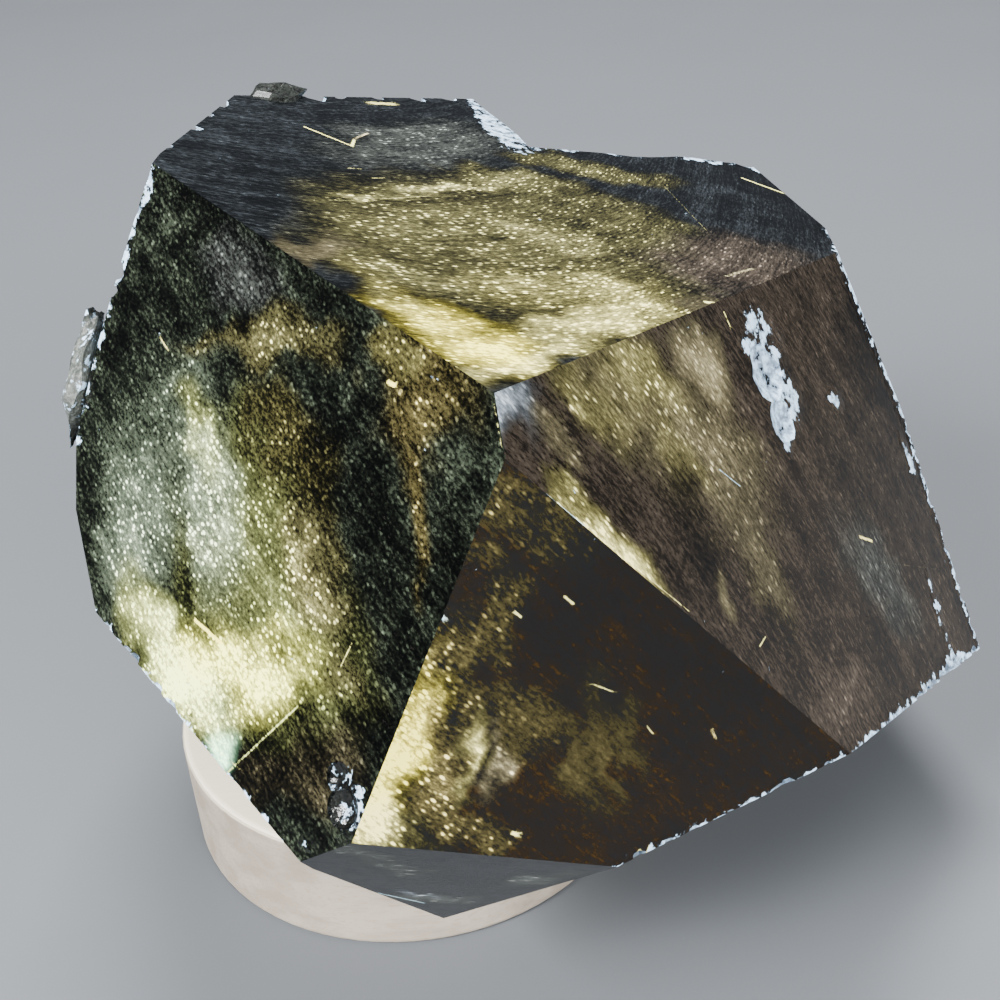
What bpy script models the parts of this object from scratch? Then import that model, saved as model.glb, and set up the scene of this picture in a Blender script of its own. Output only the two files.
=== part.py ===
"""A smoky quartz crystal, broken from its rock, lying point forward on a round wooden stand.

Units are metres, +Z is up, and the origin is the centre of the stand's underside.
"""

import random
from math import cos, pi, radians, sin

import bmesh
import bpy
from mathutils import Matrix, Vector

MM = 0.001

# The stand: a turned disc with slightly eased rims.
STAND_RADIUS = 25.5 * MM
STAND_HEIGHT = 13.2 * MM
RIM_RADIUS = 0.7 * MM
RIM_SEGMENTS = 4
STAND_STEPS = 80

# The crystal rests this far above the wood, so the two solids never touch.
REST_GAP = 0.3 * MM
REST_HEIGHT = STAND_HEIGHT + REST_GAP

# A point inside the crystal. Each flat below is measured from it.
CORE = Vector((15.0, -5.0, 40.0)) * MM
BLANK_SIZE = 240.0 * MM

# Flats of the crystal: bearing of the outward normal around +Z and its rise above the
# horizon, both in degrees, and the distance from CORE in millimetres.
FLATS = {
    # the pyramid of natural faces that meet at the tip
    "pyramid_left": (-135.8, 29.1, 38.73),
    "pyramid_top": (8.5, 72.7, 28.43),
    "pyramid_right": (-28.8, 28.3, 28.63),
    "pyramid_front": (-67.0, 4.0, 37.01),
    # the prism below the pyramid
    "prism_front": (-89.0, -30.4, 39.86),
    "prism_right_upper": (-2.1, 21.9, 38.86),
    "prism_right": (11.9, 9.1, 42.45),
    "prism_low_right": (-61.0, -49.2, 33.00),
    "prism_low_front": (-59.1, -48.8, 33.40),
    "prism_low_left": (-149.9, -29.1, 36.27),
    "prism_left_keel": (-152.8, -34.9, 33.39),
    "prism_left_lower": (-167.9, -2.3, 42.41),
    "prism_left_middle": (-174.1, 8.3, 43.46),
    "prism_left_upper": (178.5, 20.0, 43.80),
    "prism_left_top": (175.1, 24.8, 44.23),
    # the break behind and below, where the crystal left its rock
    "break_left": (169.4, 21.2, 42.57),
    "break_corner": (119.2, 25.4, 50.61),
    "break_back_left": (126.8, 11.9, 44.48),
    "break_back": (90.5, -5.7, 45.13),
    "break_back_right": (66.9, -3.0, 52.78),
    "break_under_right": (-2.2, -82.8, 28.30),
    "break_under_back": (80.0, -48.0, 38.70),
    "break_rear_left": (150.0, -20.0, 45.16),
}


def flat_normal(name):
    """The outward unit normal of a flat."""
    bearing, rise, _ = FLATS[name]
    around, up = radians(bearing), radians(rise)
    return Vector((cos(up) * cos(around), cos(up) * sin(around), sin(up)))


def flat_point(name):
    """The point of a flat that is nearest to CORE."""
    return CORE + flat_normal(name) * FLATS[name][2] * MM


def corner(*names):
    """The point where three flats meet."""
    normals = Matrix([flat_normal(name) for name in names])
    levels = Vector([flat_normal(name).dot(flat_point(name)) for name in names])
    return normals.inverted() @ levels


def put_on_flat(name, point):
    """The point moved squarely onto a flat."""
    normal = flat_normal(name)
    return point - normal * normal.dot(point - flat_point(name))


# The bite out of the top of the break: a corner, its two walls and a sloping floor.
NOTCH_TIP = Vector((19.0, 26.5, 66.8)) * MM
NOTCH_WALLS = {"left": (201.0, 18.0), "right": (-54.0, 24.0), "floor": (-75.0, -42.0)}
NOTCH_FLOOR_DROP = 6.0 * MM
NOTCH_SIZE = 70.0 * MM
NOTCH_GRAIN = 0.7 * MM

# Shell-shaped scoops: flat, a point near it in millimetres, sphere radius and bite depth.
SCOOPS = (
    ("break_back", (30, 41, 44), 26.0, 2.6),
    ("break_back", (8, 42, 40), 19.0, 2.2),
    ("break_back", (22, 40, 28), 15.0, 1.6),
    ("break_back_left", (-12, 32, 52), 24.0, 2.8),
    ("break_back_left", (0, 36, 62), 16.0, 1.5),
    ("break_back_left", (-18, 28, 38), 12.0, 1.4),
    ("break_left", (-26, 14, 50), 20.0, 1.8),
    ("break_left", (-20, 14, 64), 15.0, 1.1),
    ("break_under_back", (12, 34, 20), 18.0, 2.0),
    ("break_under_back", (42, 30, 22), 14.0, 1.6),
    ("break_rear_left", (-22, 16, 26), 16.0, 1.6),
    ("prism_right", (58, 16, 30), 22.0, 1.5),
    ("prism_low_left", (-10, -42, 37), 9.0, 0.5),
    ("prism_left_keel", (-14, -8, 26), 24.0, 1.3),
    ("prism_low_right", (30, -30, 22), 20.0, 1.0),
)

# Bruises on the pyramid faces: flat, point, sphere radius and bite depth.
PITS = (
    ("pyramid_right", (38.0, -11.5, 56.6), 11.0, 0.40),
    ("pyramid_right", (40.2, -14.5, 53.4), 7.0, 0.35),
    ("pyramid_left", (-1.4, -50.1, 42.6), 2.4, 0.70),
    ("pyramid_left", (-2.0, -48.9, 44.6), 2.0, 0.45),
)

# How far the corners of those balls stray, as a share of their radius.
SCOOP_GRAIN = 0.004
PIT_GRAIN = 0.012

# Chipped edges: the two flats that share the edge, the flats that end it, the number of
# chips, their size in millimetres and the part of the edge that carries them.
CHIPPED_EDGES = (
    ("pyramid_right", "prism_right", "prism_right_upper", "prism_low_front", 9, 1.1, (0.05, 0.95)),
    ("pyramid_right", "prism_low_front", "prism_right", "prism_low_right", 9, 1.2, (0.02, 0.60)),
    ("pyramid_front", "prism_low_right", "prism_front", "pyramid_right", 7, 0.8, (0.02, 0.98)),
    ("pyramid_left", "prism_left_top", "pyramid_top", "prism_left_upper", 4, 1.3, (0.05, 0.90)),
    ("pyramid_left", "prism_left_keel", "prism_left_lower", "prism_low_left", 5, 0.9, (0.05, 0.95)),
    ("pyramid_top", "break_back", "break_back_left", "break_back_right", 6, 1.6, (0.40, 0.98)),
    ("pyramid_top", "break_back_right", "break_back", "prism_right", 5, 1.5, (0.05, 0.95)),
    ("pyramid_top", "break_back_left", "break_left", "break_back", 6, 1.3, (0.08, 0.95)),
    ("pyramid_top", "break_left", "prism_left_top", "break_back_left", 4, 1.1, (0.05, 0.90)),
    ("break_back", "break_back_left", "pyramid_top", "break_under_back", 3, 2.4, (0.15, 0.85)),
    ("break_back", "break_under_back", "break_back_left", "break_back_right", 4, 2.2, (0.1, 0.9)),
)
CHIP_SEED = 7

# Pieces that stand proud: the splinter on the left edge and the knob at the top corner.
SPLINTER = {"at": (-25.3, -8.2, 60.4), "radii": (1.5, 3.6, 6.2), "turn": (-24.0, 14.0, -8.0)}
KNOB = {"at": (-8.8, 24.6, 75.3), "radii": (2.3, 4.8, 1.3), "turn": (2.0, 14.0, -32.0)}
LUMP_GRAIN = 0.35 * MM


def make_collection(name):
    collection = bpy.data.collections.new(name)
    bpy.context.scene.collection.children.link(collection)
    return collection


def make_material(name, colour, roughness, transmission=0.0, ior=1.5):
    """A plain Principled material."""
    material = bpy.data.materials.new(name)
    material.use_nodes = True
    shader = material.node_tree.nodes["Principled BSDF"]
    shader.inputs["Base Color"].default_value = (*colour, 1.0)
    shader.inputs["Roughness"].default_value = roughness
    shader.inputs["Metallic"].default_value = 0.0
    shader.inputs["Transmission Weight"].default_value = transmission
    shader.inputs["IOR"].default_value = ior
    return material


def object_from(bm, name, collection):
    """A new object that holds the mesh, with its faces pointing out."""
    bmesh.ops.recalc_face_normals(bm, faces=bm.faces)
    mesh = bpy.data.meshes.new(name)
    bm.to_mesh(mesh)
    bm.free()
    made = bpy.data.objects.new(name, mesh)
    collection.objects.link(made)
    return made


def clip(bm, point, normal):
    """Cuts away what lies beyond a plane and closes the cut."""
    bmesh.ops.bisect_plane(
        bm,
        geom=bm.verts[:] + bm.edges[:] + bm.faces[:],
        dist=0.001 * MM,
        plane_co=point,
        plane_no=normal,
        clear_outer=True,
    )
    rim = [edge for edge in bm.edges if edge.is_boundary]
    if rim:
        bmesh.ops.contextual_create(bm, geom=rim)


def roughen(bm, amount, rng):
    """Moves each corner by a small random step, so that the surface looks broken."""
    for vert in bm.verts:
        step = Vector([rng.uniform(-1.0, 1.0) for _ in range(3)])
        vert.co += step * amount


def make_blank():
    """The crystal as its flats alone."""
    bm = bmesh.new()
    bmesh.ops.create_cube(bm, size=BLANK_SIZE, matrix=Matrix.Translation(CORE))
    for name in FLATS:
        clip(bm, flat_point(name), flat_normal(name))
    clip(bm, Vector((0.0, 0.0, REST_HEIGHT)), Vector((0.0, 0.0, -1.0)))
    return bm


def make_notch(collection):
    """The block that is taken out of the top of the break."""
    bm = bmesh.new()
    out_of_notch = Vector((0.35, 0.85, 0.40)).normalized()
    middle = NOTCH_TIP + out_of_notch * NOTCH_SIZE * 0.5
    bmesh.ops.create_cube(bm, size=NOTCH_SIZE, matrix=Matrix.Translation(middle))
    for wall, (bearing, rise) in NOTCH_WALLS.items():
        around, up = radians(bearing), radians(rise)
        normal = Vector((cos(up) * cos(around), cos(up) * sin(around), sin(up)))
        drop = NOTCH_FLOOR_DROP if wall == "floor" else 0.0
        clip(bm, NOTCH_TIP - Vector((0.0, 0.0, drop)), normal)
    bmesh.ops.triangulate(bm, faces=bm.faces[:])
    bmesh.ops.subdivide_edges(bm, edges=bm.edges[:], cuts=7, use_grid_fill=True)
    roughen(bm, NOTCH_GRAIN, random.Random(CHIP_SEED))
    return object_from(bm, "cut_notch", collection)


def make_bite(name, flat, point, radius, depth, grain, collection):
    """A ball that bites to the given depth into a flat."""
    seat = put_on_flat(flat, Vector(point) * MM)
    centre = seat + flat_normal(flat) * (radius - depth) * MM
    bm = bmesh.new()
    bmesh.ops.create_icosphere(
        bm, subdivisions=4, radius=radius * MM, matrix=Matrix.Translation(centre)
    )
    roughen(bm, grain * radius * MM, random.Random(name))
    return object_from(bm, name, collection)


def make_chips(collection):
    """One small angular block for each chip along the named edges."""
    rng = random.Random(CHIP_SEED)
    chips = []
    for first, second, end_a, end_b, count, size, (start, stop) in CHIPPED_EDGES:
        corner_a = corner(first, second, end_a)
        corner_b = corner(first, second, end_b)
        outward = (flat_normal(first) + flat_normal(second)).normalized()
        for index in range(count):
            along = start + (stop - start) * (index + rng.uniform(0.1, 0.9)) / count
            across = size * rng.uniform(0.55, 1.25) * MM
            centre = corner_a.lerp(corner_b, along) + outward * across * 0.28
            turn = Matrix.Rotation(rng.uniform(0.0, 2.0 * pi), 4, "X")
            turn = Matrix.Rotation(rng.uniform(0.0, 2.0 * pi), 4, "Z") @ turn
            stretch = Matrix.Diagonal((rng.uniform(0.8, 1.9), 1.0, 0.8, 1.0))
            bm = bmesh.new()
            bmesh.ops.create_icosphere(
                bm,
                subdivisions=1,
                radius=across,
                matrix=Matrix.Translation(centre) @ turn @ stretch,
            )
            chips.append(object_from(bm, f"cut_chip_{len(chips):02d}", collection))
    return chips


def make_lump(name, at, radii, turn, collection):
    """A rough rounded piece that is fused to the crystal."""
    bm = bmesh.new()
    bmesh.ops.create_icosphere(bm, subdivisions=2, radius=1.0)
    roughen(bm, LUMP_GRAIN / (min(radii) * MM), random.Random(name))
    bmesh.ops.scale(bm, vec=Vector(radii) * MM, verts=bm.verts[:])
    spin = Matrix.Identity(3)
    for angle, axis in zip(turn, "XYZ"):
        spin = Matrix.Rotation(radians(angle), 3, axis) @ spin
    bmesh.ops.rotate(bm, matrix=spin, verts=bm.verts[:])
    bmesh.ops.translate(bm, vec=Vector(at) * MM, verts=bm.verts[:])
    return object_from(bm, name, collection)


def shape_with(body, tool, operation):
    """Cuts the tool out of the body, or joins it to the body."""
    modifier = body.modifiers.new(tool.name, "BOOLEAN")
    modifier.operation = operation
    modifier.object = tool
    modifier.solver = "EXACT"
    tool.hide_render = True
    tool.display_type = "WIRE"


def make_crystal(parts, cutters):
    """The crystal: its flats, then everything broken out of it, then the lumps on it."""
    crystal = object_from(make_blank(), "crystal", parts)
    shape_with(crystal, make_notch(cutters), "DIFFERENCE")
    for index, (flat, point, radius, depth) in enumerate(SCOOPS):
        name = f"cut_scoop_{index:02d}"
        tool = make_bite(name, flat, point, radius, depth, SCOOP_GRAIN, cutters)
        shape_with(crystal, tool, "DIFFERENCE")
    for index, (flat, point, radius, depth) in enumerate(PITS):
        name = f"cut_pit_{index:02d}"
        tool = make_bite(name, flat, point, radius, depth, PIT_GRAIN, cutters)
        shape_with(crystal, tool, "DIFFERENCE")
    for chip in make_chips(cutters):
        shape_with(crystal, chip, "DIFFERENCE")
    for name, spec in (("add_splinter", SPLINTER), ("add_knob", KNOB)):
        lump = make_lump(name, spec["at"], spec["radii"], spec["turn"], cutters)
        shape_with(crystal, lump, "UNION")
    crystal.data.materials.append(
        make_material("smoky_quartz", (0.16, 0.12, 0.06), 0.03, transmission=0.9, ior=1.544)
    )
    return crystal


def make_stand(parts):
    """The stand: half of the disc's outline, turned around the vertical axis."""
    outline = [(0.0, STAND_HEIGHT)]
    for corner_height, first_angle in ((STAND_HEIGHT - RIM_RADIUS, 90.0), (RIM_RADIUS, 0.0)):
        for step in range(RIM_SEGMENTS + 1):
            angle = radians(first_angle - 90.0 * step / RIM_SEGMENTS)
            outline.append(
                (
                    STAND_RADIUS - RIM_RADIUS + RIM_RADIUS * cos(angle),
                    corner_height + RIM_RADIUS * sin(angle),
                )
            )
    outline.append((0.0, 0.0))
    bm = bmesh.new()
    verts = [bm.verts.new((radius, 0.0, height)) for radius, height in outline]
    for upper, lower in zip(verts, verts[1:]):
        bm.edges.new((upper, lower))
    mesh = bpy.data.meshes.new("stand")
    bm.to_mesh(mesh)
    bm.free()
    stand = bpy.data.objects.new("stand", mesh)
    parts.objects.link(stand)
    turned = stand.modifiers.new("turned", "SCREW")
    turned.steps = STAND_STEPS
    turned.render_steps = STAND_STEPS
    turned.use_merge_vertices = True
    turned.merge_threshold = 0.01 * MM
    turned.use_smooth_shade = True
    stand.data.materials.append(make_material("pale_wood", (0.72, 0.62, 0.50), 0.55))
    return stand


def main():
    for old in list(bpy.data.objects):
        bpy.data.objects.remove(old)
    parts = make_collection("smoky_quartz_crystal")
    cutters = make_collection("cutters")
    make_crystal(parts, cutters)
    make_stand(parts)


main()
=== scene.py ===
"""The looks of a smoky quartz crystal that lies point forward on a round wooden stand.

Units are metres, +Z is up, and the origin is the centre of the stand's underside.
"""

from math import cos, pi, radians, sin

import bmesh
import bpy
import numpy as np
from mathutils import Matrix, Vector
from mathutils.geometry import delaunay_2d_cdt


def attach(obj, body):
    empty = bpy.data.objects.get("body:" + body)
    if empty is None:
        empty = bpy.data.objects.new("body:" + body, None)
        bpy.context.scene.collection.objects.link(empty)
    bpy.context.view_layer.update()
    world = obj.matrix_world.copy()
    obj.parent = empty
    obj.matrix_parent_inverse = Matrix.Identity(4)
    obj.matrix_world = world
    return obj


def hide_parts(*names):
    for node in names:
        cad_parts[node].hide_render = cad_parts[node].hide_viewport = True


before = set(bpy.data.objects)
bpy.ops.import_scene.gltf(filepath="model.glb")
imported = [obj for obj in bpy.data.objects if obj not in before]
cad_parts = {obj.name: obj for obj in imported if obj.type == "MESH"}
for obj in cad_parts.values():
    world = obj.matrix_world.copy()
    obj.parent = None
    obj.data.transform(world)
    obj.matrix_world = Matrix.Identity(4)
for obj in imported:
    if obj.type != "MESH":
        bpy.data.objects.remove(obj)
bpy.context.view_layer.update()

MM = 0.001

# ---- camera

FRAME_SIZE = 1000.0
SENSOR = 36.0
LENS = 54.0
FOCAL_PIXELS = LENS / SENSOR * FRAME_SIZE
CAMERA_AT = Vector((12.57, -135.34, 121.63)) * MM
CAMERA_DIP = radians(58.3)
CAMERA_ROLL = radians(-4.5)
CLIP_NEAR, CLIP_FAR = 0.01, 20.0


def add_object(name, data):
    """A new object in the scene."""
    added = bpy.data.objects.new(name, data)
    bpy.context.scene.collection.objects.link(added)
    return added


def camera_turn():
    """The camera's rotation: tilted down, then rolled about its own axis."""
    return Matrix.Rotation(CAMERA_DIP, 3, "X") @ Matrix.Rotation(CAMERA_ROLL, 3, "Z")


def add_camera():
    data = bpy.data.cameras.new("camera")
    data.sensor_width = SENSOR
    data.lens = LENS
    data.clip_start, data.clip_end = CLIP_NEAR, CLIP_FAR
    camera = add_object("camera", data)
    camera.matrix_world = Matrix.Translation(CAMERA_AT) @ camera_turn().to_4x4()
    bpy.context.scene.camera = camera


# ---- flats of the crystal

CORE = np.array((15.0, -5.0, 40.0))  # a point well inside the crystal, in millimetres

# Bearing and rise of each natural face's outward normal in degrees, and its distance from
# CORE in millimetres.
FACES = {
    "left": (-135.8, 29.1, 38.73),
    "top": (8.5, 72.7, 28.43),
    "right": (-28.8, 28.3, 28.63),
    "front": (-67.0, 4.0, 37.01),
    "foot": (-89.0, -30.4, 39.86),
    "side_right_upper": (-2.1, 21.9, 38.86),
    "side_right": (11.9, 9.1, 42.45),
    "side_low_right": (-61.0, -49.2, 33.00),
    "side_low_front": (-59.1, -48.8, 33.40),
    "side_low_left": (-149.9, -29.1, 36.27),
    "side_left_keel": (-152.8, -34.9, 33.39),
    "side_left_lower": (-167.9, -2.3, 42.41),
    "side_left_middle": (-174.1, 8.3, 43.46),
    "side_left_upper": (178.5, 20.0, 43.80),
    "side_left_top": (175.1, 24.8, 44.23),
}
POINT_FACES = ("left", "top", "right", "front", "foot")


def face_normal(name):
    """The direction that a face looks in."""
    bearing, rise, _ = FACES[name]
    around, up = radians(bearing), radians(rise)
    return np.array((cos(up) * cos(around), cos(up) * sin(around), sin(up)))


def face_level(name):
    """The distance of the face's plane from the origin, in millimetres."""
    return float(face_normal(name) @ CORE) + FACES[name][2]


def spot(name, pixel):
    """The point of a face, in millimetres, that the camera sees at a pixel."""
    turn = np.array(camera_turn())
    across = (pixel[0] - FRAME_SIZE / 2) / FOCAL_PIXELS
    up = (FRAME_SIZE / 2 - pixel[1]) / FOCAL_PIXELS
    ray = turn @ np.array((across, up, -1.0))
    start = np.array(CAMERA_AT) / MM
    normal = face_normal(name)
    return start + ray * (face_level(name) - normal @ start) / (normal @ ray)


# ---- noise

HASH_STEPS = np.array((73856093, 19349663, 83492791), np.uint64)
HASH_FACTOR = np.uint64(0xBF58476D1CE4E5B9)
HASH_FOLD = np.uint64(29)
HASH_DROP = np.uint64(40)  # the bits that are dropped from 64, so 24 are left
HASH_RANGE = 2.0**24
SEED_STEP = 2654435761
LATTICE_START = 5000.0  # keeps every cell number above 0
OCTAVE_SHIFT = 7.7
OCTAVE_SHARE = 0.5
WAY_SEEDS = 10  # how far apart the seeds for x, y and z are


def lattice(cells, seed):
    """A fixed random number from 0 to 1 for each whole-numbered cell."""
    mixed = (cells.astype(np.uint64) * HASH_STEPS).sum(axis=1) + np.uint64(seed * SEED_STEP)
    for _ in range(2):
        mixed ^= mixed >> HASH_FOLD
        mixed *= HASH_FACTOR
    return (mixed >> HASH_DROP).astype(float) / HASH_RANGE


def soft_noise(points, scale, seed, octaves=1):
    """Cloudy noise from 0 to 1 at the points."""
    total, size, amount = np.zeros(len(points)), 0.0, 1.0
    for octave in range(octaves):
        place = points * scale * 2.0**octave + LATTICE_START + OCTAVE_SHIFT * octave
        cell = np.floor(place)
        share = place - cell
        share = share * share * (3.0 - 2.0 * share)
        for corner in np.ndindex(2, 2, 2):
            weight = np.prod(np.where(corner, share, 1.0 - share), axis=1)
            total += amount * weight * lattice(cell + corner, seed + octave)
        size += amount
        amount *= OCTAVE_SHARE
    return total / size


def drift(points, scale, seed):
    """A smooth random step at the points, each part from -1 to 1."""
    parts = [soft_noise(points, scale, seed + WAY_SEEDS * way) for way in range(3)]
    return np.stack(parts, axis=1) * 2.0 - 1.0


# ---- inclusions

# All places in the tables below are pixels of the FRAME_SIZE picture, which spot() puts
# on a face of the crystal.

GOLD = (1.00, 0.85, 0.32)
BRIGHT_GOLD = (1.00, 0.88, 0.14)
PALE_GOLD = (1.00, 0.93, 0.34)
PALE_GREEN = (0.88, 1.00, 0.36)
LEMON = (0.97, 1.00, 0.22)
MIST = (0.74, 0.95, 0.66)
AQUA = (0.50, 1.00, 0.62)
BEIGE = (1.00, 0.88, 0.50)
KHAKI = (1.00, 0.95, 0.40)
TAN = (1.00, 0.80, 0.62)
PEWTER = (0.86, 0.96, 0.90)
BLUE_GREY = (0.72, 0.86, 1.00)
RUST = (1.00, 0.55, 0.14)
ICE = (0.50, 0.80, 1.00)
CREAM = (1.00, 0.96, 0.36)

# What lies under the whole of each face: how bright its inclusions are, how calm, and
# their hue. A brightness of 1 is the full hue, and each 1 / STOPS less halves it.
STOPS = 7.2
VEILS = {
    "left": (0.06, -0.2, MIST),
    "top": (0.08, 0.3, BLUE_GREY),
    "right": (0.19, 0.6, TAN),
    "front": (0.07, 0.6, RUST),
    "foot": (0.06, 0.5, BLUE_GREY),
}

# Clouds of inclusions under each face: the middle, the tip of the long half-axis, the
# short half-axis in millimetres, how bright, how calm (below 0 is livelier) and the hue.
CLOUDS = {
    "left": (
        ((250, 580), (310, 700), 7.4, 0.43, -0.3, PALE_GREEN),
        ((312, 565), (325, 620), 3.2, 0.60, -0.4, KHAKI),
        ((235, 652), (300, 662), 3.8, 0.93, -0.3, LEMON),
        ((190, 695), (232, 716), 3.6, 0.95, -0.1, PALE_GREEN),
        ((150, 620), (172, 680), 2.6, 0.78, 0.1, PALE_GREEN),
        ((218, 744), (236, 752), 1.6, 0.94, 0.9, AQUA),
        ((200, 445), (222, 495), 1.9, 0.56, -0.3, PALE_GREEN),
        ((210, 505), (238, 570), 3.8, 0.55, -0.3, MIST),
        ((135, 525), (118, 590), 4.8, 0.51, -0.2, MIST),
        ((160, 430), (105, 450), 5.0, 0.28, -0.2, MIST),
        ((280, 345), (330, 345), 1.5, 0.36, -0.4, KHAKI),
        ((215, 350), (250, 345), 1.2, 0.25, -0.4, KHAKI),
        ((190, 375), (160, 392), 1.6, 0.29, -0.2, MIST),
        ((240, 270), (270, 300), 2.4, 0.22, 0.0, PEWTER),
        ((435, 400), (480, 435), 4.2, 0.18, -0.6, GOLD),
        ((400, 370), (420, 395), 1.4, 0.29, -0.4, PALE_GOLD),
        ((417, 540), (413, 590), 0.6, 0.27, -0.6, GOLD),
        ((416, 480), (418, 510), 0.6, 0.23, -0.6, GOLD),
        ((285, 470), (320, 530), 4.0, 0.20, -0.6, PALE_GOLD),
        ((330, 660), (345, 700), 2.0, 0.31, -0.4, KHAKI),
        ((262, 790), (290, 765), 2.0, 0.26, 0.0, BEIGE),
        ((320, 770), (345, 810), 3.6, 0.20, 0.0, BEIGE),
    ),
    "top": (
        ((455, 336), (400, 300), 3.4, 0.80, 0.1, BRIGHT_GOLD),
        ((502, 354), (552, 368), 4.4, 0.92, 0.1, BRIGHT_GOLD),
        ((410, 312), (345, 262), 1.6, 0.50, -0.1, PALE_GOLD),
        ((545, 368), (610, 340), 1.6, 0.74, 0.2, PALE_GOLD),
        ((590, 325), (650, 308), 2.8, 0.72, 0.1, PALE_GOLD),
        ((605, 290), (660, 305), 4.6, 0.63, -0.3, PALE_GOLD),
        ((505, 250), (650, 275), 14.0, 0.36, -0.3, KHAKI),
        ((550, 235), (600, 245), 4.2, 0.52, -0.3, KHAKI),
        ((520, 290), (580, 295), 4.0, 0.51, -0.3, PALE_GOLD),
        ((385, 268), (440, 292), 3.8, 0.36, -0.2, KHAKI),
        ((325, 252), (345, 240), 1.4, 0.41, 0.7, BEIGE),
        ((530, 190), (600, 200), 3.8, 0.45, -0.3, KHAKI),
        ((385, 199), (430, 197), 0.7, 0.63, -0.3, KHAKI),
        ((455, 189), (505, 186), 1.3, 0.64, -0.3, KHAKI),
        ((390, 228), (450, 228), 2.4, 0.36, -0.3, KHAKI),
        ((620, 225), (680, 260), 6.4, 0.29, -0.3, KHAKI),
        ((690, 305), (730, 300), 3.0, 0.34, 0.3, BEIGE),
        ((430, 145), (500, 140), 5.0, 0.31, 0.0, PEWTER),
        ((600, 172), (660, 178), 2.6, 0.37, -0.3, KHAKI),
        ((720, 260), (790, 255), 6.0, 0.26, 0.2, TAN),
    ),
    "right": (
        ((616, 556), (652, 588), 1.8, 0.97, 0.1, PALE_GOLD),
        ((572, 508), (600, 530), 1.2, 0.65, 0.0, PALE_GOLD),
        ((506, 425), (504, 455), 1.3, 0.66, 0.7, BLUE_GREY),
        ((520, 412), (538, 445), 2.0, 0.52, 0.5, BLUE_GREY),
        ((560, 450), (590, 474), 1.4, 0.42, 0.1, BEIGE),
        ((572, 408), (588, 422), 0.6, 0.62, 0.0, PALE_GOLD),
        ((670, 425), (760, 500), 6.6, 0.39, 0.3, BEIGE),
        ((600, 405), (650, 440), 3.2, 0.39, 0.1, PALE_GOLD),
        ((700, 352), (725, 380), 3.6, 0.56, 0.5, BEIGE),
        ((645, 378), (690, 405), 3.0, 0.53, 0.1, PALE_GOLD),
        ((670, 455), (700, 490), 2.4, 0.43, 0.0, PALE_GOLD),
        ((700, 430), (750, 475), 3.2, 0.36, 0.3, BEIGE),
        ((722, 600), (728, 624), 1.2, 0.54, 0.6, BEIGE),
        ((755, 560), (780, 620), 2.6, 0.34, 0.4, BEIGE),
        ((830, 700), (870, 705), 4.4, 0.31, 0.5, TAN),
        ((880, 580), (920, 630), 4.0, 0.27, 0.3, PEWTER),
    ),
    "front": (
        ((403, 765), (430, 680), 2.8, 0.93, -0.4, BRIGHT_GOLD),
        ((385, 828), (420, 845), 2.6, 0.96, -0.3, PALE_GOLD),
        ((446, 664), (476, 640), 2.0, 0.43, -0.4, GOLD),
        ((450, 730), (454, 800), 1.8, 0.53, -0.4, GOLD),
        ((482, 746), (484, 774), 0.8, 0.77, 0.5, PALE_GOLD),
        ((508, 748), (512, 776), 0.6, 0.58, 0.4, BEIGE),
        ((492, 612), (504, 645), 1.3, 0.33, -0.4, GOLD),
        ((520, 525), (570, 555), 2.2, 0.27, -0.4, GOLD),
        ((470, 815), (500, 830), 1.2, 0.26, -0.4, GOLD),
        ((586, 745), (592, 800), 1.0, 0.27, 0.8, GOLD),
        ((612, 740), (616, 800), 0.8, 0.31, 0.8, GOLD),
        ((634, 730), (640, 770), 0.7, 0.28, 0.8, GOLD),
        ((525, 715), (570, 720), 2.6, 0.22, 0.1, GOLD),
    ),
    "foot": (
        ((440, 899), (500, 902), 1.8, 0.42, 0.2, PEWTER),
        ((375, 858), (420, 872), 1.8, 0.30, 0.2, PEWTER),
        ((530, 880), (575, 876), 1.6, 0.36, 0.3, PEWTER),
        ((410, 893), (436, 900), 0.5, 0.66, 0.2, BLUE_GREY),
    ),
}

# Dark clear stretches, which let the eye into the smoky inside: middle, tip, short
# half-axis in millimetres and how clear they are.
CLEARINGS = {
    "left": (
        ((350, 500), (385, 580), 4.4, 0.80),
        ((345, 410), (320, 395), 1.8, 0.60),
        ((450, 580), (480, 490), 2.4, 0.90),
        ((385, 700), (372, 810), 3.2, 0.80),
        ((189, 565), (191, 590), 0.6, 0.90),
        ((215, 180), (290, 290), 2.4, 0.50),
        ((130, 300), (110, 340), 2.4, 0.50),
    ),
    "top": (
        ((290, 165), (340, 168), 2.6, 0.60),
        ((770, 190), (820, 230), 5.0, 0.30),
    ),
    "right": (
        ((685, 530), (700, 600), 2.2, 0.35),
        ((574, 428), (604, 456), 0.6, 0.40),
        ((880, 370), (915, 490), 4.4, 0.50),
    ),
    "front": (
        ((640, 625), (730, 690), 4.6, 0.80),
        ((520, 530), (526, 548), 1.2, 0.90),
        ((455, 690), (452, 760), 0.5, 0.60),
        ((495, 700), (497, 790), 0.5, 0.60),
    ),
    "foot": (),
}

# Straight folds where a cloud ends crisply: the two ends, how far the clear part on the
# right of the line reaches in millimetres, and how clear it is.
FOLDS = {
    "left": (((228, 772), (296, 708), 8.0, 0.80),),
    "front": (((452, 770), (441, 690), 1.6, 0.60),),
}

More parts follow.
